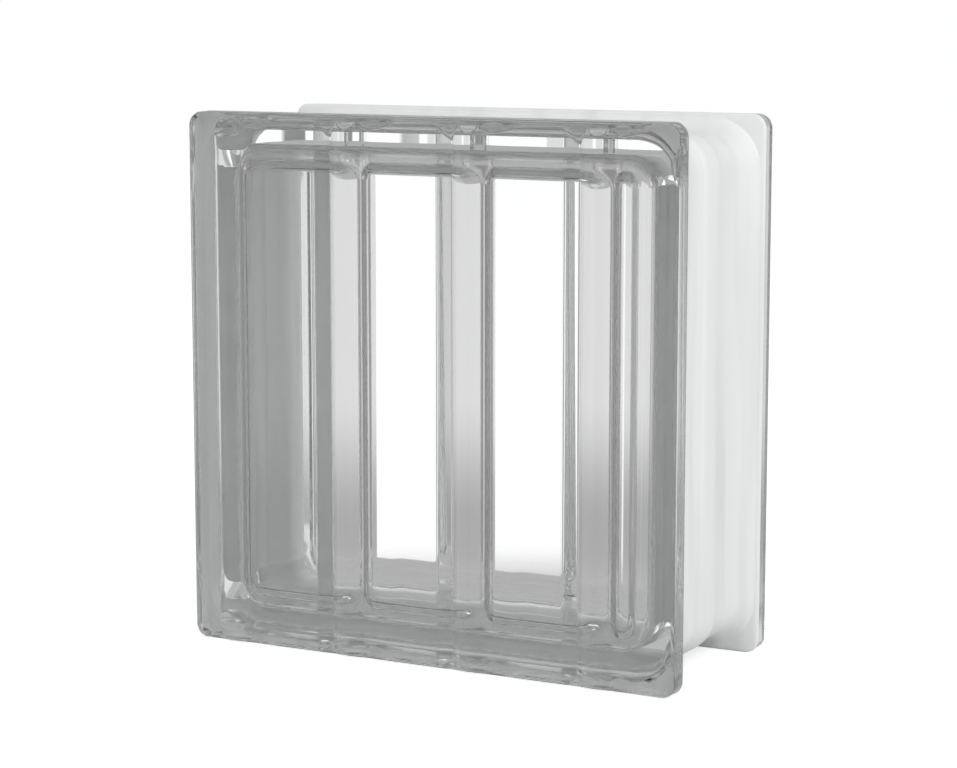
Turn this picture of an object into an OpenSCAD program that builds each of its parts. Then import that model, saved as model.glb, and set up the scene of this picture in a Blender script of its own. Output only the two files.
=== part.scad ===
// Hollow glass block for walls and partitions: two pressed halves, each with columns in relief on its face,
// fused at mid depth into one sealed piece. Millimetres, standing on the edges of its flanges, front to -Y.

/* [Flange] */
// Width of the block over the flanges
flange_w = 190; // [150:1:240]
// Height of the block over the flanges
flange_h = 190; // [150:1:240]
// Depth of the block from flange face to flange face
block_d = 80; // [70:1:110]
// Thickness of each flange at its edge
rim_t = 8; // [6:0.5:12]
// Corner radius of the flange
flange_r = 5; // [3:0.5:9]
// Rounding of the two edges of the rim
rim_round = 1.5; // [0.5:0.1:2.5]

/* [Mortar channel] */
// Depth of the mortar channel below the flange edge
channel_d = 6; // [4:0.5:8]
// Radius of the concave shoulder from channel floor to rim
shoulder_r = 12; // [8:0.5:16]
// Corner radius of the channel floor
channel_r = 13; // [10:0.5:20]
// Width of the fused bead at the seam
bead_w = 12; // [6:0.5:18]
// Height of the fused bead over the channel floor
bead_h = 1; // [0.5:0.1:2]

/* [Hollow] */
// Thickness of the side walls at the seam
wall_t = 7.5; // [6:0.5:12]
// Lean of the side walls from the seam to the face
wall_lean = 4.5; // [2:0.5:6]
// Corner radius of the hollow at the face
hollow_r = 5; // [3:0.5:8]
// Thickness of the face at the floors of its pockets
face_t = 8; // [7:0.5:12]
// Depth of the pockets between the webs
pocket_d = 4; // [2:0.5:6]
// Width of the webs between the pockets
web_w = 5; // [3:0.5:8]

/* [Columns] */
// Distance from the left edge of the flange to the middle of the first rib
column_inset = 17; // [14:0.5:24]
// Spacing of the columns
column_pitch = 48; // [40:0.5:60]
// Least flat margin to the right of the last ramp
column_margin = 5; // [4:0.5:14]
// Height of a rib over the flange face
rib_h = 1; // [0.5:0.1:2]
// Radius of a rib
rib_r = 9.6; // [8:0.1:12]
// Depth of the groove on the left of a rib
groove_d = 2.6; // [1.5:0.1:3.2]
// Width of the sloped wall from the face down to the groove
groove_w = 4.8; // [3:0.1:7]
// Depth of the flute on the right of a rib
flute_d = 1.3; // [0.8:0.1:2]
// Radius of the flute
flute_r = 8; // [6:0.1:10]
// Slope of the ramp from the flute back to the face, in degrees
ramp_turn = 7.5; // [5:0.5:12]
// Height of the lower ends of the columns over the flange edge
column_foot = 0.5; // [0.5:0.1:4]
// Length of the sloped run-out of the groove at the lower ends
foot_run = 2; // [1.5:0.1:6]
// Distance of the upper ends of the columns below the flange edge
column_head = 2.3; // [1:0.1:6]
// Length of the sloped run-out of the groove at the upper ends
head_run = 5.6; // [3:0.1:12]

/* [Hidden] */
$fn = 96;
// Small overlap of joined solids and cuts, so that they don't end on the same plane
lap = 1;
// Small overlap of round forms that run into each other
bite = 0.05;
// How far the floor of a bed lies below the groove, under the rib
bed_sink = 0.4;

half_d = block_d / 2;
rim_back = half_d - rim_t;
floor_z = half_d - face_t;
web_z = floor_z - pocket_d;
wall_x = flange_w / 2 - channel_d;
wall_y = flange_h / 2 - channel_d;
// Half sizes of the hollow where its walls meet the pockets
pocket_x = wall_x - wall_t - wall_lean;
pocket_y = wall_y - wall_t - wall_lean;

// Depths of the middles of a rib and a flute, and how far apart they lie across the face
rib_z = half_d + rib_h - rib_r;
flute_z = half_d - flute_d + flute_r;
flute_step = sqrt(pow(rib_r + flute_r - bite, 2) - pow(flute_z - rib_z, 2));
// Where the ramp leaves the flute and where it reaches the face, from the middle of the rib
ramp_low = [flute_step + flute_r * sin(ramp_turn), flute_z - flute_r * cos(ramp_turn)];
ramp_end = ramp_low.x + (half_d - ramp_low.y) / tan(ramp_turn);
// Where the flank of the rib meets the wall of the groove
groove_z = half_d - groove_d;
groove_x = -sqrt(pow(rib_r, 2) - pow(groove_z - rib_z, 2));

// As many columns as the face has room for
first_column = column_inset - flange_w / 2;
last_room = flange_w / 2 - column_margin - ramp_end;
columns = [for (x = first_column; x <= last_room; x = x + column_pitch) x];
column_low = column_foot - flange_h / 2;
column_high = flange_h / 2 - column_head;

// Webs stand behind the ribs, wherever a pocket at least as wide as a web is left beside them
web_room = pocket_x - 1.5 * web_w;
webs = [for (x = columns) if (abs(x) < web_room) x];
pocket_lows = concat([-pocket_x], [for (x = webs) x + web_w / 2]);
pocket_highs = concat([for (x = webs) x - web_w / 2], [pocket_x]);

// Rectangle with round corners between two corner points, its radius limited by its width
module rounded_plate(low, high, corner_r) {
    r = min(corner_r, 0.48 * (high.x - low.x));
    size = high - low;
    translate([low.x + r, low.y])
        square([size.x - 2 * r, size.y]);
    translate([low.x, low.y + r])
        square([size.x, size.y - 2 * r]);
    for (x = [low.x + r, high.x - r], y = [low.y + r, high.y - r])
        translate([x, y])
            circle(r);
}

// Carries a profile, drawn as distance from a path against depth, along one side of a rectangular path
// of half sizes half_x by half_y and round the corner that follows
module swept_side(half_x, half_y) {
    translate([half_x, half_y, 0]) {
        rotate([90, 0, 0])
            linear_extrude(2 * half_y)
                children();
        rotate_extrude(angle = 90)
            children();
    }
}

// Block with the profile on all four sides, filled in the middle from depth low to high
module swept_block(half_x, half_y, low, high) {
    translate([-half_x, -half_y, low])
        cube([2 * half_x, 2 * half_y, high - low]);
    for (turn = [0, 180]) {
        rotate([0, 0, turn])
            swept_side(half_x, half_y)
                children();
        rotate([0, 0, turn + 90])
            swept_side(half_y, half_x)
                children();
    }
}

// Edge of the flange: a band with both edges rounded
module rim_profile() {
    flat_r = flange_r - rim_round;
    translate([0, rim_back])
        square([flat_r, rim_t]);
    translate([0, rim_back + rim_round])
        square([flange_r, rim_t - 2 * rim_round]);
    for (z = [rim_back + rim_round, half_d - rim_round])
        translate([flat_r, z])
            circle(rim_round);
}

// Side wall from the seam to the rim: half the bead, the channel floor and the concave shoulder
module wall_profile() {
    shoulder_rise = channel_d - rim_round;
    shoulder_run = sqrt(pow(shoulder_r, 2) - pow(shoulder_r - shoulder_rise, 2));
    shoulder_low = rim_back - shoulder_run;
    square([channel_r, half_d - rim_round]);
    square([channel_r + bead_h, bead_w / 2]);
    difference() {
        translate([0, shoulder_low])
            square([channel_r + shoulder_rise, shoulder_run + lap]);
        translate([channel_r + shoulder_r, shoulder_low])
            circle(shoulder_r);
    }
}

// Hollow of one half: its walls lean in from the seam to the face
module hollow_profile() {
    seam_r = hollow_r + wall_lean;
    polygon([[0, -lap], [seam_r, -lap], [seam_r, 0], [hollow_r, web_z], [0, web_z]]);
}

// Section of a rib: the upper part of a circle, from its crest to below the groove
module rib_profile() {
    base_z = groove_z - 2 * bed_sink;
    difference() {
        translate([0, rib_z])
            circle(rib_r);
        translate([-2 * rib_r, base_z - 2 * rib_r])
            square([4 * rib_r, 2 * rib_r]);
    }
}

// Section of the bed that a rib lies in: the groove's wall, a floor under the rib, the flute and the ramp
module bed_profile() {
    top_z = half_d + lap;
    sink_x = groove_x + bed_sink * groove_w / groove_d;
    polygon([
        [groove_x - groove_w, half_d],
        [sink_x, groove_z - bed_sink],
        [0, groove_z - bed_sink],
        [0, top_z],
        [groove_x - groove_w, top_z]
    ]);
    translate([flute_step, flute_z])
        circle(flute_r);
    polygon([[flute_step, half_d - flute_d], ramp_low, [ramp_end, half_d], [ramp_end, top_z], [flute_step, top_z]]);
}

// Carries a profile across the face up its height, from the lower to the upper ends of the columns
module upright() {
    translate([0, column_high, 0])
        rotate([90, 0, 0])
            linear_extrude(column_high - column_low)
                children();
}

// Wedge beyond a sloped end of a column, which leaves the face at height y and is at the given rise after the run
module end_wedge(y, run, rise) {
    past = 1.5;
    end = run > 0 ? y - lap : y + lap;
    translate([-column_pitch / 2, 0, half_d])
        rotate([90, 0, 90])
            linear_extrude(column_pitch)
                polygon([[y, 0], [y + past * run, past * rise], [end, past * rise], [end, 0]]);
}

// Rib with its upper end sloped back to the face
module rib() {
    difference() {
        upright()
            rib_profile();
        end_wedge(column_high, -head_run, groove_d);
    }
}

// Cut of the bed of a rib, with both ends sloped up to the face
module bed() {
    difference() {
        upright()
            bed_profile();
        end_wedge(column_high, -head_run, -groove_d);
        end_wedge(column_low, foot_run, -groove_d);
    }
}

// Pockets between the webs on the inside of the face
module pockets() {
    for (i = [0 : len(pocket_lows) - 1])
        translate([0, 0, web_z - lap])
            linear_extrude(pocket_d + lap)
                rounded_plate([pocket_lows[i], -pocket_y], [pocket_highs[i], pocket_y], hollow_r);
}

// Solid of one half, with the beds cut into its face and the ribs set in them
module relief_half() {
    difference() {
        union() {
            swept_block(flange_w / 2 - flange_r, flange_h / 2 - flange_r, rim_back, half_d)
                rim_profile();
            swept_block(wall_x - channel_r, wall_y - channel_r, 0, half_d - rim_round)
                wall_profile();
        }
        for (x = columns)
            translate([x, 0, 0])
                bed();
    }
    for (x = columns)
        translate([x, 0, 0])
            rib();
}

// One pressed half, its seam at depth 0 and its face towards +Z
module pressed_half() {
    difference() {
        relief_half();
        swept_block(pocket_x - hollow_r, pocket_y - hollow_r, -lap, web_z)
            hollow_profile();
        pockets();
    }
}

// Two like halves fused back to back, so both faces show their columns the same way round
module glass_block() {
    color([0.82, 0.87, 0.85, 0.5])
        translate([0, 0, flange_h / 2])
            for (turn = [0, 180])
                rotate([0, 0, turn])
                    rotate([90, 0, 0])
                        pressed_half();
}

glass_block();
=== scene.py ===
"""Hollow glass block with columns in relief, a white coat on its recessed edges, and a plain studio."""

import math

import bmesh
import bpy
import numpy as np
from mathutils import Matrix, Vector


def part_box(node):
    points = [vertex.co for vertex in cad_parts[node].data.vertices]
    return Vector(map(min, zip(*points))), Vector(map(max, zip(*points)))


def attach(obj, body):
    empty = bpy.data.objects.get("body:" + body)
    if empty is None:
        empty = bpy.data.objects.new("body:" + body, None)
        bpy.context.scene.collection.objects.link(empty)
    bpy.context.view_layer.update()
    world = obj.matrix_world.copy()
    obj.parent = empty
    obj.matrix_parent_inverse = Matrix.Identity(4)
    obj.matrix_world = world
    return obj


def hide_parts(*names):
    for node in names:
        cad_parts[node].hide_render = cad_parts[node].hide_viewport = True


bl_info = {
    "name": "Glass block",
    "version": (1, 0, 0),
    "blender": (4, 5, 0),
    "location": "3D View > Sidebar > Glass block",
    "description": "Builds a hollow pressed glass block with coated edges and a plain studio round it",
    "category": "Add Mesh",
}

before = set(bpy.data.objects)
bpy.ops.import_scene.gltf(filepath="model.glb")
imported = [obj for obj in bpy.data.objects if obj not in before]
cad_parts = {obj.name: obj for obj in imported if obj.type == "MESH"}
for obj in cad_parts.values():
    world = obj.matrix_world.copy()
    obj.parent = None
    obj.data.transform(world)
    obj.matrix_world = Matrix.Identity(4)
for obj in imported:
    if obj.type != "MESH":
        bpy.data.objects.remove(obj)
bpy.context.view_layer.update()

MM = 0.001
NODE = "glass_block"
NODE_LOW, NODE_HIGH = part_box(NODE)
SURFACE_GROUP = "pressed surface"

# Rounding errors smaller than this don't count
SLACK = 1e-6
# Points nearer than these are joined, and edges that turn further than this stay sharp
GLASS_WELD = 0.002 * MM
COAT_WELD = 0.0001 * MM
SHARP_TURN = math.radians(40)

# Turns of the loops on the front and rear roundings of a rim, on the fillet in the hollow and round a corner
# of the coat
RIM_FRONT = np.radians([15, 30, 45, 60, 75, 90])
RIM_REAR = np.radians([0, 22, 45, 67, 90])
FILLET_TURNS = np.radians(np.arange(8, 89, 8))
COAT_ARC = np.radians(np.linspace(0, 90, 13))
# The relief of the face fades on the rim's front rounding, between these turns
RELIEF_FULL = math.radians(35)
RELIEF_GONE = math.radians(85)
# Loops of the concave shoulder, and the share of its arc at which they start, just clear of the rim
SHOULDER_LOOPS = 7
SHOULDER_START = 0.985
# Side of the bead: shares of its height, and how far outside its width they lie, in bead heights
BEAD_SIDE = ((0, 1), (0.3, 0.4), (0.85, -0.6), (1, -2))
# Loops of the hollow's walls between fillet and seam, as shares of the webs' depth
WALL_LOOPS = np.array([0.5, 0.25, 0])
# The coat starts at the second loop of the rim's rear rounding
COAT_START = len(RIM_FRONT) + 1
# The straight stretches of all loops end this far before the widest corner
CORNER_MARGIN = 1 * MM

# The studio that the glass shows, by angle in degrees from the depth axis towards the left: the edges of a
# white card behind the block and of a dark gap beside it, and how soft they are
CARD_RIGHT = 20.5
CARD_LEFT = 34.8
CARD_SOFT = 1.4
GAP_LEFT = 50
GAP_SOFT = 4.5
# Tones to the right of the card, of the card, of the gap and to its left, on the wall and on the table
WALL_TONES = (0.8, 1.15, 0.27, 0.65)
TABLE_TONES = (0.43, 1.15, 0.25, 0.35)
# Tones of the table nearer than the card's foot, and of what is below its front edge
TABLE_NEAR = 0.5
TABLE_FOOT = 0.45
# Heights of the table's far edge, the card's foot and the table's front edge, as sines of the angle below
# level, and their softness
TABLE_EDGE = -math.sin(math.radians(9.9))
CARD_FOOT = -math.sin(math.radians(12.3))
TABLE_FRONT = -math.sin(math.radians(17))
STUDIO_SOFT = math.sin(math.radians(0.6))
TABLE_SOFT = math.sin(math.radians(1.4))
# Tones of the studio above the block and of the room before it, which is pale straight ahead and dark at
# its sides
SKY_TONE = 0.45
ROOM_TONE = 0.25
ROOM_DARK = 0.08
ROOM_EDGE = -math.cos(math.radians(60))
ROOM_SOFT = 0.1
# Strength of the plain light on open surfaces, and on the coat behind the glass from the front and the rear
LIGHT_OPEN = 0.52
LIGHT_FRONT = 0.32
LIGHT_REAR = 2.1

# The floor, in metres: half its width, its grid lines, how far it lies under the block and how it glows for
# the camera
FLOOR_HALF = 4
FLOOR_LINES = 9
FLOOR_DROP = 0.2 * MM
FLOOR_GLOW = 0.58
# Name, place, width and power of each soft box, and the point that they all face
LAMPS = (
    ("right_box", (1.4, -0.5, 0.9), 1.0, 9.0),
    ("top_box", (-0.2, -0.3, 1.8), 1.2, 2.0),
    ("front_box", (-0.4, -1.5, 1.1), 1.5, 3.0),
)
LAMP_AIM = np.array([0, 0, 0.1])
# Camera: place in metres, how far it looks down and to the left in degrees, and lens and sensor in
# millimetres
CAMERA_PLACE = (0.444, -0.825, 0.231)
CAMERA_DOWN = 8.32
CAMERA_LEFT = 28.27
CAMERA_LENS = 100.33
CAMERA_SENSOR = 36


def length(name, description, millimetres):
    """A length property whose default is given in millimetres."""
    return bpy.props.FloatProperty(name=name, description=description, default=millimetres * MM,
                                   unit="LENGTH", precision=4)


def tint(name, description, colour):
    """A colour property."""
    return bpy.props.FloatVectorProperty(name=name, description=description, default=colour,
                                         subtype="COLOR", size=3, min=0.0, max=1.0)


class BlockSizes(bpy.types.PropertyGroup):
    """Sizes of the glass and its coat, of which the outer ones come from the frame."""

    flange_w: length("Flange width", "Width over the flanges", (NODE_HIGH.x - NODE_LOW.x) / MM)
    flange_h: length("Flange height", "Height over the flanges", (NODE_HIGH.z - NODE_LOW.z) / MM)
    overall_d: length("Overall depth", "Depth over the ribs", (NODE_HIGH.y - NODE_LOW.y) / MM)
    rim_t: length("Rim", "Thickness of a flange at its edge", 8)
    flange_r: length("Flange corner", "Corner radius of the flanges", 5)
    rim_round: length("Rim rounding", "Rounding of the edges of the rim", 1.5)
    channel_d: length("Channel depth", "Depth of the mortar channel below the flange edge", 6)
    shoulder_r: length("Shoulder", "Radius of the concave shoulder from channel floor to rim", 12)
    channel_r: length("Channel corner", "Corner radius of the channel floor", 13)
    bead_w: length("Bead width", "Width of the fused bead at the seam", 12)
    bead_h: length("Bead height", "Height of the fused bead over the channel floor", 1)
    pocket_inset: length("Pocket inset", "From the channel floor to the outline of the pockets", 12)
    fillet_r: length("Fillet", "Radius of the fillet between the webs and the hollow's walls", 4.5)
    hollow_r: length("Hollow corner", "Corner radius of the pockets", 5)
    face_t: length("Face", "Thickness of a face at the floors of its pockets", 8)
    pocket_d: length("Pocket depth", "Depth of the pockets between the webs", 4)
    pocket_round: length("Pocket rounding", "Half the width of the pockets' sloped edges", 2.2)
    web_w: length("Web", "Width of the webs between the pockets", 5)
    column_inset: length("First column", "From the left edge of the flange to the first rib", 17)
    column_pitch: length("Column spacing", "Spacing of the columns", 48)
    column_margin: length("Column margin", "Least flat margin to the right of the last ramp", 5)
    rib_h: length("Rib height", "Height of a rib over the flange face", 1)
    rib_r: length("Rib radius", "Radius of a rib", 9.6)
    groove_d: length("Groove depth", "Depth of the groove on the left of a rib", 2.6)
    groove_w: length("Groove wall", "Width of the sloped wall from the face down to the groove", 4.8)
    flute_d: length("Flute depth", "Depth of the flute on the right of a rib", 1.3)
    flute_r: length("Flute radius", "Radius of the flute", 8)
    ramp_turn: bpy.props.FloatProperty(name="Ramp slope", default=math.radians(7.5), subtype="ANGLE",
                                       description="Slope of the ramp from the flute to the face")
    edge_soft: length("Soft edges", "Depth over which the polished edges of the relief are rounded", 0.3)
    column_head: length("Column head", "Distance of the columns' upper ends below the flange edge", 2.3)
    head_run: length("Head run-out", "Length of the sloped run-out of the groove at the upper ends", 5.6)
    column_foot: length("Column foot", "Height of the columns' lower ends over the flange edge", 0.5)
    foot_run: length("Foot run-out", "Length of the sloped run-out of the groove at the lower ends", 2)
    coat_out: length("Coat thickness", "How far the white coat stands out of the glass or the gap", 0.15)
    coat_in: length("Coat bite", "How far the coat's inner face lies in the glass", 0.3)
    coat_gap: length("Coat gap", "How far the coat stands off the glass on the shoulders", 0.15)


class BlockColours(bpy.types.PropertyGroup):
    """Colours of the glass, the coat and the studio."""

    glass: tint("Glass", "Tint of the glass surface", (0.995, 0.997, 0.996))
    glass_depth: tint("Glass depth", "What a long way through the glass lets through", (0.77, 0.80, 0.80))
    coat: tint("Coat", "White coat on the recessed edges", (0.94, 0.945, 0.945))
    coat_thin: tint("Thin coat", "Coat where it was brushed on thin", (0.86, 0.87, 0.87))
    floor: tint("Floor", "Pale studio floor", (0.82, 0.82, 0.82))


# Grids and loops


def graded(stops):
    """Grid lines through a list of (place, longest step after it), in equal steps from place to place."""
    lines = [np.array([stops[0][0]])]
    for (low, step), (high, _) in zip(stops, stops[1:]):
        count = max(1, math.ceil((high - low) / step - SLACK))
        lines.append(np.linspace(low, high, count + 1)[1:])
    return np.concatenate(lines)


def mirrored(lines, nearest):
    """The lines and their mirror images about 0, without any that lies nearer than nearest to the last."""
    both = np.unique(np.round(np.concatenate([lines, -lines]), 9))
    half = both[both >= 0]
    kept = [half[-1]]
    for line in half[-2::-1]:
        if kept[-1] - line >= nearest:
            kept.append(line)
    kept = np.array(kept)
    return np.unique(np.concatenate([kept, -kept]))


def grid_quads(index):
    """Quads of a grid, from the array of its points' numbers."""
    corners = [index[:-1, :-1], index[:-1, 1:], index[1:, 1:], index[1:, :-1]]
    return np.stack(corners, -1).reshape(-1, 4)


def round_corners(x, y, half, r):
    """Carries a rectangular grid onto a plate with round corners. In each corner square of side r, with a and
    b running from 0 to 1 across it, a becomes a * sqrt(1 - b*b/2) and b becomes b * sqrt(1 - a*a/2)."""
    a = np.clip((np.abs(x) - (half[0] - r)) / r, 0, 1)
    b = np.clip((np.abs(y) - (half[1] - r)) / r, 0, 1)
    pull_x = r * a * (np.sqrt(1 - b * b / 2) - 1)
    pull_y = r * b * (np.sqrt(1 - a * a / 2) - 1)
    return x + np.sign(x) * pull_x, y + np.sign(y) * pull_y


def corner_share(x, y, half, r, fixed):
    """For points on a rounded rectangle, how far along its corner stretch each one lies, from 0 to 1. A
    corner stretch runs from height fixed on the side, up to the arc, round it, and along the top to width
    fixed."""
    qx, qy = np.abs(x), np.abs(y)
    rise = half[1] - r - fixed[1]
    run = half[0] - r - fixed[0]
    turn = np.arctan2(np.maximum(qy - (half[1] - r), 0), np.maximum(qx - (half[0] - r), 0))
    on_top = (qx <= half[0] - r) & (qy > half[1] - r)
    along_top = rise + r * math.pi / 2 + half[0] - r - qx
    along = np.where(on_top, along_top, np.minimum(qy - fixed[1], rise) + r * turn)
    return along / (rise + r * math.pi / 2 + run)


def rounded_loop(x, y, share, half, r, fixed):
    """Moves the points of one rounded rectangle to another of the given half sizes and corner radius: points
    on the straight stretches move square to them, and corner points keep their share of the corner
    stretch."""
    rise = half[1] - r - fixed[1]
    run = half[0] - r - fixed[0]
    along = share * (rise + r * math.pi / 2 + run)
    turn = np.clip((along - rise) / r, 0, math.pi / 2)
    corner_x = half[0] - r + r * np.cos(turn) - np.maximum(along - rise - r * math.pi / 2, 0)
    corner_y = np.minimum(fixed[1] + along, half[1] - r) + r * np.sin(turn)
    side = np.abs(y) <= fixed[1]
    cap = np.abs(x) <= fixed[0]
    loop_x = np.where(side, np.sign(x) * half[0], np.where(cap, x, np.sign(x) * corner_x))
    loop_y = np.where(side, y, np.where(cap, np.sign(y) * half[1], np.sign(y) * corner_y))
    return loop_x, loop_y


def half_skin(x_lines, y_lines, half, r, depth, stations, fixed):
    """One half of a closed skin, as points and quads: a face, whose depth is a function of x and y on a grid
    with round corners, and then loops carried round its edge, each station being (half sizes, corner radius,
    depth, share of the face's own relief that it keeps)."""
    nx, ny = len(x_lines), len(y_lines)
    gx, gy = np.meshgrid(x_lines, y_lines)
    gx, gy = round_corners(gx, gy, half, r)
    gz = depth(gx, gy)
    points = [np.stack([gx, gy, gz], -1).reshape(-1, 3)]
    index = np.arange(nx * ny).reshape(ny, nx)
    quads = [grid_quads(index)]
    ring = np.concatenate([index[0, :-1], index[:-1, -1], index[-1, :0:-1], index[:0:-1, 0]])
    edge = points[0][ring]
    share = corner_share(edge[:, 0], edge[:, 1], half, r, fixed)
    relief = edge[:, 2] - gz[-1, 0]
    count = nx * ny
    for station_half, station_r, station_depth, keep in stations:
        lx, ly = rounded_loop(edge[:, 0], edge[:, 1], share, station_half, station_r, fixed)
        points.append(np.stack([lx, ly, station_depth + keep * relief], -1))
        new = count + np.arange(len(ring))
        quads.append(np.stack([ring, new, np.roll(new, -1), np.roll(ring, -1)], -1))
        ring = new
        count += len(ring)
    return np.concatenate(points), np.concatenate(quads)


def stood_up(points, lift):
    """Turns points from the pressing frame (across, up, out) to the block's own: out becomes -Y and up
    becomes +Z."""
    return np.stack([points[:, 0], -points[:, 2], points[:, 1] + lift], -1)


def both_halves(points, quads, lift):
    """A half and the same half turned a half turn about the vertical, in the block's frame."""
    front = stood_up(points, lift)
    rear = front * np.array([-1.0, -1.0, 1.0])
    return np.concatenate([front, rear]), np.concatenate([quads, quads + len(points)])


def new_piece(name, points, quads, material, weld):
    """A mesh object at the origin from whole arrays, with points nearer than weld joined. Raises an error
    where the mesh isn't closed."""
    mesh = bpy.data.meshes.new(name)
    mesh.from_pydata(points.tolist(), [], quads.tolist())
    form = bmesh.new()
    form.from_mesh(mesh)
    bmesh.ops.remove_doubles(form, verts=form.verts, dist=weld)
    open_edges = sum(1 for e in form.edges if not e.is_manifold)
    form.to_mesh(mesh)
    form.free()
    if open_edges:
        raise RuntimeError(f"{name} has {open_edges} open edges")
    mesh.polygons.foreach_set("use_smooth", np.ones(len(mesh.polygons), bool))
    mesh.set_sharp_from_angle(angle=SHARP_TURN)
    mesh.materials.append(material)
    piece = bpy.data.objects.new(name, mesh)
    bpy.context.scene.collection.objects.link(piece)
    return piece


# Form of the glass


def soft_max(a, b, soft):
    """The greater of two heights, with the corner where they cross rounded by a parabola: where they differ
    by less than soft, (soft - difference)^2 / (4 soft) is added."""
    return np.maximum(a, b) + np.maximum(soft - np.abs(a - b), 0) ** 2 / (4 * soft)


class Form:
    """Lengths that follow from the block's sizes, in the pressing frame: across, up and out from the seam."""

    def __init__(self, s):
        self.s = s
        self.half_d = s.overall_d / 2 - s.rib_h
        self.half_w = s.flange_w / 2
        self.half_h = s.flange_h / 2
        self.rim_back = self.half_d - s.rim_t
        self.floor_z = self.half_d - s.face_t
        self.web_z = self.floor_z - s.pocket_d
        self.wall = np.array([self.half_w, self.half_h]) - s.channel_d
        self.pocket = self.wall - s.pocket_inset
        self.column_high = self.half_h - s.column_head
        self.rib_z = s.rib_h - s.rib_r
        self.flute_z = s.flute_r - s.flute_d
        self.flute_x = math.sqrt((s.rib_r + s.flute_r) ** 2 - (self.flute_z - self.rib_z) ** 2)
        self.meet_x = self.flute_x * s.rib_r / (s.rib_r + s.flute_r)
        self.ramp_x = self.flute_x + s.flute_r * math.sin(s.ramp_turn)
        ramp_rise = s.flute_r * math.cos(s.ramp_turn) - self.flute_z
        self.ramp_end = self.ramp_x + ramp_rise / math.tan(s.ramp_turn)
        self.groove_x = -math.sqrt(s.rib_r ** 2 - (s.groove_d + self.rib_z) ** 2)
        self.groove_edge = self.groove_x - s.groove_w
        last_room = self.half_w - s.column_margin - self.ramp_end
        first = s.column_inset - self.half_w
        self.columns = np.arange(first, last_room + SLACK, s.column_pitch)
        # A web stands behind a rib where a pocket at least as wide as the web is left beside it
        room = self.pocket[0] - 1.5 * s.web_w
        webs = self.columns[np.abs(self.columns) < room]
        self.pocket_lows = np.concatenate([[-self.pocket[0]], webs + s.web_w / 2])
        self.pocket_highs = np.concatenate([webs - s.web_w / 2, [self.pocket[0]]])

    def column_profile(self, u):
        """Height over the flange face at distance u from the middle of a rib. From left to right: the
        straight wall of the groove, the rib as a circle, the flute as a circle that touches it, and a
        straight ramp to the face. The wall, the ramp and the face are joined by soft minima, and the groove
        is the soft maximum of wall and rib."""
        s = self.s
        wall = -(u - self.groove_edge) * s.groove_d / s.groove_w
        rib = self.rib_z + np.sqrt(np.maximum(s.rib_r ** 2 - u ** 2, 0))
        flute = self.flute_z - np.sqrt(np.maximum(s.flute_r ** 2 - (u - self.flute_x) ** 2, 0))
        ramp = (u - self.ramp_end) * math.tan(s.ramp_turn)
        right = np.where(u < self.ramp_x, flute, -soft_max(-ramp, 0 * u, s.edge_soft))
        right = np.where(u < self.meet_x, rib, right)
        left = -soft_max(-wall, 0 * u, s.edge_soft)
        return soft_max(left, right, s.edge_soft)

    def face_depth(self, x, y):
        """Outer face: the columns' profile, held to slopes that leave the face at the columns' two ends."""
        s = self.s
        height = np.zeros_like(x)
        for column in self.columns:
            height += self.column_profile(x - column)
        head = np.maximum(self.column_high - y, 0) * s.groove_d / s.head_run
        foot = np.maximum(y + self.half_h - s.column_foot, 0) * s.groove_d / s.foot_run
        return self.half_d + np.clip(height, -np.minimum(head, foot), head)

    def pocket_floor(self, x, y):
        """Inner face: floors of the pockets, with rounded walls up to the webs. The wall is a smooth step in
        the distance to the nearest pocket's rounded outline."""
        s = self.s
        nearest = np.full_like(x, 1.0)
        for low, high in zip(self.pocket_lows, self.pocket_highs):
            r = min(s.hollow_r, 0.48 * (high - low))
            dx = np.abs(x - (low + high) / 2) - (high - low) / 2 + r
            dy = np.abs(y) - self.pocket[1] + r
            beyond = np.hypot(np.maximum(dx, 0), np.maximum(dy, 0))
            outside = beyond + np.minimum(np.maximum(dx, dy), 0) - r
            nearest = np.minimum(nearest, outside)
        t = np.clip((nearest + s.pocket_round) / (2 * s.pocket_round), 0, 1)
        return self.floor_z - s.pocket_d * t * t * (3 - 2 * t)


def outer_stations(form):
    """Loops from the edge of the face round the rim, down the concave shoulder and over the channel to the
    seam: quarter circles on the rim's two edges, an arc on the shoulder, and the side and top of the bead."""
    s = form.s
    full = np.array([form.half_w, form.half_h])
    out = []
    for turn in RIM_FRONT:
        inset = s.rim_round * (1 - math.sin(turn))
        drop = s.rim_round * (1 - math.cos(turn))
        keep = np.clip((RELIEF_GONE - turn) / (RELIEF_GONE - RELIEF_FULL), 0, 1)
        out.append((full - inset, s.flange_r - inset, form.half_d - drop, keep))
    for turn in RIM_REAR:
        inset = s.rim_round * (1 - math.cos(turn))
        depth = form.rim_back + s.rim_round * (1 - math.sin(turn))
        out.append((full - inset, s.flange_r - inset, depth, 0))
    rise = s.channel_d - s.rim_round
    start = math.acos(1 - rise / s.shoulder_r)
    run = s.shoulder_r * math.sin(start)
    for turn in np.linspace(start * SHOULDER_START, 0, SHOULDER_LOOPS):
        up = s.shoulder_r * (1 - math.cos(turn))
        depth = form.rim_back - run + s.shoulder_r * math.sin(turn)
        out.append((form.wall + up, s.channel_r + up, depth, 0))
    side = [(share * s.bead_h, s.bead_w / 2 + past * s.bead_h) for share, past in BEAD_SIDE]
    for up, depth in side + [(s.bead_h, 0)]:
        out.append((form.wall + up, s.channel_r + up, depth, 0))
    return out


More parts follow.
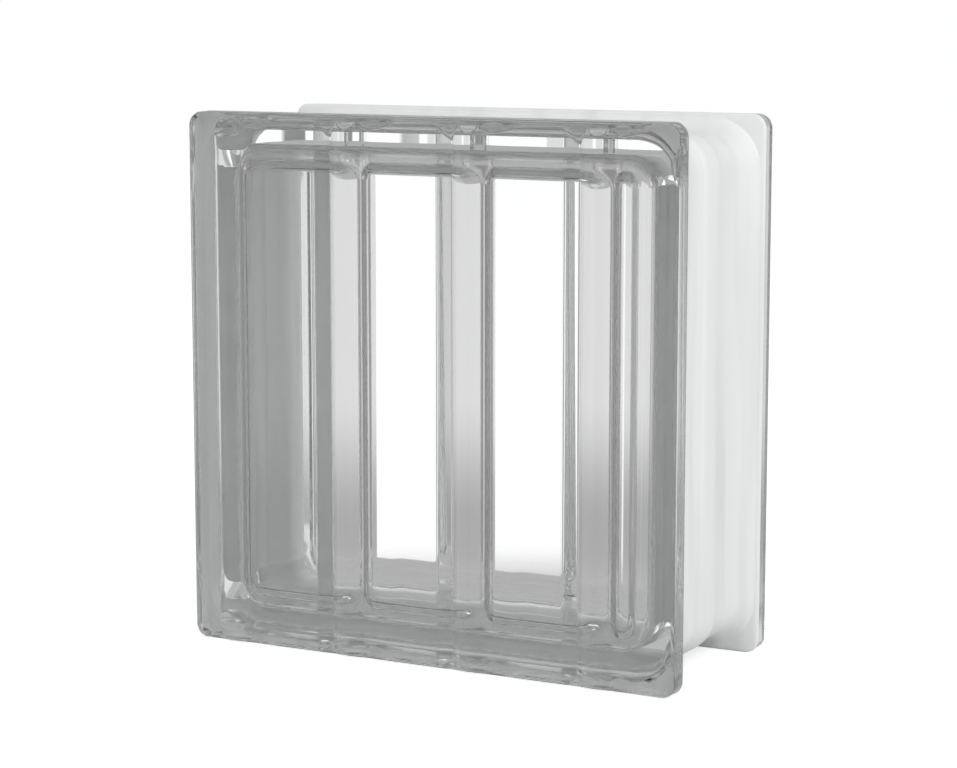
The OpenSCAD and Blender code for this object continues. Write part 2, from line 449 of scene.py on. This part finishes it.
def hollow_stations(form):
    """Loops from the edge of the pockets to the seam. All four walls start with a quarter-round fillet of
    radius r, which at a drop d behind the webs lies sqrt(r*r - (r - d)^2) outside the pockets' edge, and then
    run straight."""
    s = form.s
    edge = form.pocket + s.pocket_round
    fillet = form.web_z - s.fillet_r * (1 - np.cos(FILLET_TURNS))
    out = []
    for depth in np.append(fillet, form.web_z * WALL_LOOPS):
        drop = form.web_z - depth
        lean = math.sqrt(s.fillet_r ** 2 - max(s.fillet_r - drop, 0) ** 2)
        out.append((edge + lean, s.hollow_r + s.pocket_round + lean, depth, 0))
    return out


def face_lines(form):
    """Grid lines of the outer face, close together over the ribs and flutes, at the corners and at the
    columns' ends."""
    s = form.s
    fine = 0.5 * MM
    short = 0.4 * MM
    bend = 1.2 * MM
    edge = form.half_w - s.rim_round
    corner = form.half_w - s.flange_r
    across = [(-edge, bend), (-corner, 4 * MM)]
    for column in form.columns:
        brink = column + form.groove_edge
        groove = column + form.groove_x
        end = column + form.ramp_end
        across += [(brink - 2 * fine, fine / 2), (brink + 2 * fine, 2 * fine),
                   (groove - fine, fine / 4), (groove + fine, fine), (column + form.ramp_x, 2 * fine),
                   (end - 6 * fine, 2 * fine), (end + 6 * fine, 5 * MM)]
    across += [(corner, bend), (edge, None)]
    edge = form.half_h - s.rim_round
    corner = form.half_h - s.flange_r
    head = form.column_high - s.head_run
    foot = -form.half_h + s.column_foot + s.foot_run
    up = [(-edge, short / 2), (foot, short), (foot + 2 * short, bend), (-corner, 14 * MM),
          (head - 2 * short, short), (form.column_high + short, fine), (edge, None)]
    up_lines = np.unique(np.concatenate([graded(up), np.linspace(corner, edge, 4)]))
    return mirrored(graded(across), 0.6 * fine), up_lines


def hollow_lines(form):
    """Grid lines of the inner face, close together where pocket walls rise."""
    s = form.s
    fine = 0.5 * MM
    web_step = 0.6 * MM
    wide = 5 * MM
    edge = form.pocket + s.pocket_round
    corner = form.pocket - s.hollow_r
    across = [(-edge[0], fine), (-corner[0] + 2 * MM, wide)]
    for low, high in zip(form.pocket_highs[:-1], form.pocket_lows[1:]):
        across += [(low - s.hollow_r, web_step), (high + s.hollow_r, wide)]
    across += [(corner[0] - 2 * MM, fine), (edge[0], None)]
    apart = 0.01 * MM
    across = [stop for i, stop in enumerate(across) if i == 0 or stop[0] > across[i - 1][0] + apart]
    up = [(-edge[1], fine), (-corner[1] + 1 * MM, 16 * MM), (corner[1] - 1 * MM, fine), (edge[1], None)]
    return mirrored(graded(across), web_step), graded(up)


# Form of the coat


def coat_lift(form, half, depth):
    """How far the coat's inner face lies out of the glass. It bites into the channel floor and the bead, and
    stands a little off the concave shoulders, which so mirror the inside of the block."""
    s = form.s
    on_shoulder = abs(depth) > s.bead_w and half[0] > form.wall[0] + s.coat_gap / 2
    return s.coat_gap if on_shoulder else -s.coat_in


def coat_ring(half, r, depth):
    """Points once round a rounded rectangle at a depth, with the corners as arcs."""
    corners = []
    for quarter, (sx, sy) in enumerate(((1, 1), (-1, 1), (-1, -1), (1, -1))):
        turn = COAT_ARC + quarter * math.pi / 2
        x = sx * (half[0] - r) + r * np.cos(turn)
        y = sy * (half[1] - r) + r * np.sin(turn)
        corners.append(np.stack([x, y], -1))
    flat = np.concatenate(corners)
    return np.concatenate([flat, np.full((len(flat), 1), depth)], -1)


def coat_skin(form):
    """Points and quads of the coat: the glass's own loops from one rim to the other, carried round once as
    the coat's inner face and once, in the other direction, as its outer face."""
    s = form.s
    stations = outer_stations(form)[COAT_START:]
    full = stations + [(half, r, -depth, keep) for half, r, depth, keep in stations[-2::-1]]
    inner, outer = [], []
    for half, r, depth, _ in full:
        lift = coat_lift(form, half, depth)
        out = max(lift, 0) + s.coat_out
        inner.append(coat_ring(half + lift, r + lift, depth))
        outer.append(coat_ring(half + out, r + out, depth))
    rings = inner + outer
    count = len(rings[0])
    order = list(range(len(full))) + list(range(2 * len(full) - 1, len(full) - 1, -1))
    index = np.arange(len(rings) * count).reshape(len(rings), count)[order]
    after = np.roll(index, -1, axis=0)
    corners = [index, np.roll(index, -1, axis=1), np.roll(after, -1, axis=1), after]
    return np.concatenate(rings), np.stack(corners, -1).reshape(-1, 4)


# Shader groups and materials


def node_at(tree, kind, place, **settings):
    """A node of a kind, with its settings."""
    node = tree.nodes.new(kind)
    node.location = place
    for key, value in settings.items():
        setattr(node, key, value)
    return node


def set_inputs(node, values):
    """Sets the inputs of a node that a dictionary names."""
    for name, value in values.items():
        node.inputs[name].default_value = value


def pressed_surface_group():
    """Node group for pressed and brushed surfaces, built at its first use: a height that rolls gently,
    stretched up the block where Upright is below 1."""
    group = bpy.data.node_groups.get(SURFACE_GROUP)
    if group:
        return group
    group = bpy.data.node_groups.new(SURFACE_GROUP, "ShaderNodeTree")
    group.interface.new_socket("Scale", in_out="INPUT", socket_type="NodeSocketFloat")
    group.interface.new_socket("Upright", in_out="INPUT", socket_type="NodeSocketFloat")
    group.interface.new_socket("Height", in_out="OUTPUT", socket_type="NodeSocketFloat")
    start = node_at(group, "NodeGroupInput", (-600, 0))
    end = node_at(group, "NodeGroupOutput", (400, 0))
    place = node_at(group, "ShaderNodeTexCoord", (-600, 200))
    roll = node_at(group, "ShaderNodeTexNoise", (-200, 100))
    set_inputs(roll, {"Detail": 1.5, "Roughness": 0.45})
    stretch = node_at(group, "ShaderNodeCombineXYZ", (-600, -200))
    set_inputs(stretch, {"X": 1.0, "Y": 1.0})
    spread = node_at(group, "ShaderNodeVectorMath", (-400, 100), operation="MULTIPLY")
    group.links.new(start.outputs["Upright"], stretch.inputs["Z"])
    group.links.new(place.outputs["Object"], spread.inputs[0])
    group.links.new(stretch.outputs["Vector"], spread.inputs[1])
    group.links.new(spread.outputs["Vector"], roll.inputs["Vector"])
    group.links.new(start.outputs["Scale"], roll.inputs["Scale"])
    group.links.new(roll.outputs["Fac"], end.inputs["Height"])
    return group


def principled(name):
    """A material with its own Principled BSDF, and the tree and shader."""
    material = bpy.data.materials.new(name)
    material.use_nodes = True
    return material, material.node_tree, material.node_tree.nodes["Principled BSDF"]


def rolling_surface(tree, shader, scale, upright, strength, distance):
    """Adds the pressed surface to a material as a bump on its shader. Returns the height's socket."""
    rolling = node_at(tree, "ShaderNodeGroup", (-700, -200), node_tree=pressed_surface_group())
    set_inputs(rolling, {"Scale": scale, "Upright": upright})
    bump = node_at(tree, "ShaderNodeBump", (-300, -200))
    set_inputs(bump, {"Strength": strength, "Distance": distance})
    tree.links.new(rolling.outputs["Height"], bump.inputs["Height"])
    tree.links.new(bump.outputs["Normal"], shader.inputs["Normal"])
    return rolling.outputs["Height"]


def glass_material(colours):
    """Clear pressed glass: full transmission, a faint blue-green in long ways through it, and a gently
    rolling surface."""
    material, tree, shader = principled("clear_pressed_glass")
    set_inputs(shader, {"Base Color": (*colours.glass, 1), "Transmission Weight": 1.0, "Roughness": 0.0,
                        "IOR": 1.52})
    rolling_surface(tree, shader, scale=60, upright=0.12, strength=0.012, distance=2 * MM)
    depth = node_at(tree, "ShaderNodeVolumeAbsorption", (0, -400))
    set_inputs(depth, {"Color": (*colours.glass_depth, 1), "Density": 3.0})
    tree.links.new(depth.outputs["Volume"], tree.nodes["Material Output"].inputs["Volume"])
    return material


def coat_material(colours):
    """White coat, brushed on along the edges: chalky, a little thinner in places."""
    material, tree, shader = principled("brushed_white_coat")
    shader.inputs["Roughness"].default_value = 0.55
    height = rolling_surface(tree, shader, scale=90, upright=0.1, strength=0.08, distance=1 * MM)
    thin = node_at(tree, "ShaderNodeMapRange", (-500, 100))
    set_inputs(thin, {"From Min": 0.3, "From Max": 0.5})
    mix = node_at(tree, "ShaderNodeMix", (-300, 150), data_type="RGBA")
    set_inputs(mix, {"A": (*colours.coat_thin, 1), "B": (*colours.coat, 1)})
    tree.links.new(height, thin.inputs["Value"])
    tree.links.new(thin.outputs["Result"], mix.inputs["Factor"])
    tree.links.new(mix.outputs["Result"], shader.inputs["Base Color"])
    return material


# Studio


def tones_by_angle(tree, share, tones):
    """Adds a ramp of the four tones over a socket that runs from 0 at -90 to 1 at 90 degrees. Returns the
    tone's socket."""
    right, card, gap, left = tones
    node = node_at(tree, "ShaderNodeValToRGB", (-900, 300))
    ramp = node.color_ramp
    ramp.elements[0].color = (right, right, right, 1)
    ramp.elements[1].color = (left, left, left, 1)
    for edge, soft, before, after in (
        (CARD_RIGHT, CARD_SOFT, right, card),
        (CARD_LEFT, CARD_SOFT, card, gap),
        (GAP_LEFT, GAP_SOFT, gap, left),
    ):
        ramp.elements.new((edge - soft + 90) / 180).color = (before, before, before, 1)
        ramp.elements.new((edge + soft + 90) / 180).color = (after, after, after, 1)
    tree.links.new(share, node.inputs["Fac"])
    return node.outputs["Color"]


def stepped(tree, height, edge, soft, below, above):
    """Adds nodes that pass softly from a tone or socket below a height's edge to another above it. Returns
    the socket."""
    share = node_at(tree, "ShaderNodeMapRange", (-700, 100), interpolation_type="SMOOTHSTEP")
    set_inputs(share, {"From Min": edge - soft, "From Max": edge + soft})
    mix = node_at(tree, "ShaderNodeMix", (-500, 100))
    tree.links.new(height, share.inputs["Value"])
    tree.links.new(share.outputs["Result"], mix.inputs["Factor"])
    for name, value in (("A", below), ("B", above)):
        if isinstance(value, float):
            mix.inputs[name].default_value = value
        else:
            tree.links.new(value, mix.inputs[name])
    return mix.outputs["Result"]


def studio_tone(tree, way):
    """Adds nodes for how bright the studio is that the glass shows in each direction. Behind the block it
    goes by the angle from the depth axis towards the left and by height. The room before the block goes by
    how far a direction lies to the side. Returns the tone's socket."""
    slope = node_at(tree, "ShaderNodeMath", (-1500, 300), operation="DIVIDE")
    angle = node_at(tree, "ShaderNodeMath", (-1300, 300), operation="ARCTANGENT")
    share = node_at(tree, "ShaderNodeMapRange", (-1100, 300))
    set_inputs(share, {"From Min": math.pi / 2, "From Max": -math.pi / 2})
    tree.links.new(way["X"], slope.inputs[0])
    tree.links.new(way["Y"], slope.inputs[1])
    tree.links.new(slope.outputs["Value"], angle.inputs[0])
    tree.links.new(angle.outputs["Value"], share.inputs["Value"])
    wall = tones_by_angle(tree, share.outputs["Result"], WALL_TONES)
    table = tones_by_angle(tree, share.outputs["Result"], TABLE_TONES)
    low = stepped(tree, way["Z"], TABLE_EDGE, TABLE_SOFT, table, wall)
    low = stepped(tree, way["Z"], CARD_FOOT, STUDIO_SOFT, TABLE_NEAR, low)
    low = stepped(tree, way["Z"], TABLE_FRONT, STUDIO_SOFT, TABLE_FOOT, low)
    rear = stepped(tree, way["Z"], -STUDIO_SOFT, STUDIO_SOFT, low, SKY_TONE)
    room = stepped(tree, way["Y"], ROOM_EDGE, ROOM_SOFT, ROOM_TONE, ROOM_DARK)
    return stepped(tree, way["Y"], 0.0, STUDIO_SOFT, room, rear)


def make_world(scene):
    """White for the camera and a plain soft light for open surfaces. Rays through the glass see the studio's
    tones, or, where they left the coat behind the glass, a light that is stronger from the rear. Those are
    the rays with a diffuse bounce, so a Diffuse Depth below one half tells the two apart."""
    world = bpy.data.worlds.new("studio")
    world.use_nodes = True
    scene.world = world
    tree = world.node_tree
    back = tree.nodes["Background"]
    back.inputs["Color"].default_value = (1, 1, 1, 1)
    path = node_at(tree, "ShaderNodeLightPath", (-900, -300))
    straight = node_at(tree, "ShaderNodeMath", (-700, -300), operation="LESS_THAN")
    straight.inputs[1].default_value = 0.5
    place = node_at(tree, "ShaderNodeTexCoord", (-1900, 0))
    parts = node_at(tree, "ShaderNodeSeparateXYZ", (-1700, 0))
    light = node_at(tree, "ShaderNodeMapRange", (-500, -600))
    set_inputs(light, {"From Min": -1.0, "To Min": LIGHT_FRONT, "To Max": LIGHT_REAR})
    glass = node_at(tree, "ShaderNodeMix", (-500, 0))
    through = node_at(tree, "ShaderNodeMix", (-300, 0))
    through.inputs["A"].default_value = LIGHT_OPEN
    level = node_at(tree, "ShaderNodeMix", (-100, 0))
    level.inputs["B"].default_value = 1.0
    tree.links.new(place.outputs["Generated"], parts.inputs["Vector"])
    tree.links.new(parts.outputs["Y"], light.inputs["Value"])
    tree.links.new(path.outputs["Diffuse Depth"], straight.inputs[0])
    tree.links.new(straight.outputs["Value"], glass.inputs["Factor"])
    tree.links.new(light.outputs["Result"], glass.inputs["A"])
    tree.links.new(studio_tone(tree, parts.outputs), glass.inputs["B"])
    tree.links.new(path.outputs["Is Transmission Ray"], through.inputs["Factor"])
    tree.links.new(glass.outputs["Result"], through.inputs["B"])
    tree.links.new(path.outputs["Is Camera Ray"], level.inputs["Factor"])
    tree.links.new(through.outputs["Result"], level.inputs["A"])
    tree.links.new(level.outputs["Result"], back.inputs["Strength"])


def make_floor(colours):
    """A wide pale floor that the camera sees white, less the shadow that falls on it. Rays through the glass
    pass it and see the studio."""
    side = np.linspace(-FLOOR_HALF, FLOOR_HALF, FLOOR_LINES)
    gx, gy = np.meshgrid(side, side)
    points = np.stack([gx, gy, np.full_like(gx, -FLOOR_DROP)], -1).reshape(-1, 3)
    quads = grid_quads(np.arange(gx.size).reshape(gx.shape))
    mesh = bpy.data.meshes.new("studio_floor")
    mesh.from_pydata(points.tolist(), [], quads.tolist())
    material, tree, shader = principled("studio_floor")
    set_inputs(shader, {"Base Color": (*colours.floor, 1), "Roughness": 0.9, "Emission Color": (1, 1, 1, 1)})
    path = node_at(tree, "ShaderNodeLightPath", (-500, 300))
    glow = node_at(tree, "ShaderNodeMath", (-300, 0), operation="MULTIPLY")
    glow.inputs[1].default_value = FLOOR_GLOW
    clear = node_at(tree, "ShaderNodeBsdfTransparent", (300, -300))
    passed = node_at(tree, "ShaderNodeMixShader", (500, 0))
    tree.links.new(path.outputs["Is Camera Ray"], glow.inputs[0])
    tree.links.new(glow.outputs["Value"], shader.inputs["Emission Strength"])
    tree.links.new(path.outputs["Is Transmission Ray"], passed.inputs["Fac"])
    tree.links.new(shader.outputs["BSDF"], passed.inputs[1])
    tree.links.new(clear.outputs["BSDF"], passed.inputs[2])
    tree.links.new(passed.outputs["Shader"], tree.nodes["Material Output"].inputs["Surface"])
    mesh.materials.append(material)
    floor = bpy.data.objects.new("studio_floor", mesh)
    bpy.context.scene.collection.objects.link(floor)


def make_lamps():
    """Soft boxes to the right, above and before the block, turned to face the same point."""
    for name, place, size, power in LAMPS:
        lamp = bpy.data.lights.new(name, "AREA")
        lamp.size = size
        lamp.energy = power
        item = bpy.data.objects.new(name, lamp)
        item.location = place
        across, away, up = LAMP_AIM - np.array(place)
        item.rotation_euler = (math.atan2(math.hypot(across, away), -up), 0, math.atan2(-across, away))
        bpy.context.scene.collection.objects.link(item)


def make_camera(scene):
    """The camera at the photograph's place: to the right and a little above, with a long lens."""
    camera = bpy.data.cameras.new("camera")
    camera.lens = CAMERA_LENS
    camera.sensor_width = CAMERA_SENSOR
    item = bpy.data.objects.new("camera", camera)
    item.location = CAMERA_PLACE
    item.rotation_euler = (math.radians(90 - CAMERA_DOWN), 0, math.radians(CAMERA_LEFT))
    scene.collection.objects.link(item)
    scene.camera = item


# Operators and panel


class BLOCK_OT_stage(bpy.types.Operator):
    """Makes the floor, the lamps, the white surroundings and the camera"""

    bl_idname = "glass_block.stage"
    bl_label = "Studio"

    def execute(self, context):
        scene = context.scene
        scene.view_settings.view_transform = "Standard"
        make_floor(scene.block_colours)
        make_world(scene)
        make_lamps()
        make_camera(scene)
        scene.cycles.max_bounces = 18
        scene.cycles.transmission_bounces = 18
        scene.cycles.glossy_bounces = 12
        scene.cycles.diffuse_bounces = 4
        return {"FINISHED"}


class BLOCK_OT_glass(bpy.types.Operator):
    """Makes the glass: outer skin and sealed hollow as one closed mesh that stands for the frame's block"""

    bl_idname = "glass_block.glass"
    bl_label = "Glass"

    def execute(self, context):
        sizes, colours = context.scene.block_sizes, context.scene.block_colours
        form = Form(sizes)
        lift = sizes.flange_h / 2
        half = np.array([form.half_w, form.half_h]) - sizes.rim_round
        outer = half_skin(*face_lines(form), half, sizes.flange_r - sizes.rim_round, form.face_depth,
                          outer_stations(form), form.wall - sizes.channel_r - CORNER_MARGIN)
        outer_points, outer_quads = both_halves(*outer, lift)
        reach = sizes.pocket_round
        hollow = half_skin(*hollow_lines(form), form.pocket + reach, sizes.hollow_r + reach,
                           form.pocket_floor, hollow_stations(form),
                           form.pocket - sizes.hollow_r - CORNER_MARGIN)
        hollow_points, hollow_quads = both_halves(*hollow, lift)
        points = np.concatenate([outer_points, hollow_points])
        # The hollow's skin faces into the hollow, so its quads are turned round
        quads = np.concatenate([outer_quads, hollow_quads[:, ::-1] + len(outer_points)])
        piece = new_piece("pressed_glass", points, quads, glass_material(colours), GLASS_WELD)
        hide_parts(NODE)
        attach(piece, "root")
        return {"FINISHED"}


class BLOCK_OT_coat(bpy.types.Operator):
    """Makes the white coat on the recessed edges as a thin closed skin"""

    bl_idname = "glass_block.coat"
    bl_label = "Edge coat"

    def execute(self, context):
        sizes, colours = context.scene.block_sizes, context.scene.block_colours
        rings, quads = coat_skin(Form(sizes))
        points = stood_up(rings, sizes.flange_h / 2)
        piece = new_piece("edge_coat", points, quads, coat_material(colours), COAT_WELD)
        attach(piece, "root")
        return {"FINISHED"}


class BLOCK_PT_panel(bpy.types.Panel):
    """Lists what the add-on makes, and its sizes and colours"""

    bl_label = "Glass block"
    bl_idname = "BLOCK_PT_panel"
    bl_space_type = "VIEW_3D"
    bl_region_type = "UI"
    bl_category = "Glass block"

    def draw(self, context):
        for operator in OPERATORS:
            self.layout.operator(operator.bl_idname)
        for group in (context.scene.block_sizes, context.scene.block_colours):
            for key in group.__annotations__:
                self.layout.prop(group, key)


OPERATORS = (BLOCK_OT_stage, BLOCK_OT_glass, BLOCK_OT_coat)
CLASSES = (BlockSizes, BlockColours, *OPERATORS, BLOCK_PT_panel)


def register():
    """Registers the classes and hangs the sizes and colours on the scene."""
    for item in CLASSES:
        bpy.utils.register_class(item)
    bpy.types.Scene.block_sizes = bpy.props.PointerProperty(type=BlockSizes)
    bpy.types.Scene.block_colours = bpy.props.PointerProperty(type=BlockColours)


def unregister():
    """Takes back what register did."""
    del bpy.types.Scene.block_colours
    del bpy.types.Scene.block_sizes
    for item in reversed(CLASSES):
        bpy.utils.unregister_class(item)


def main():
    register()
    bpy.ops.glass_block.stage()
    bpy.ops.glass_block.glass()
    bpy.ops.glass_block.coat()


if __name__ == "__main__":
    main()
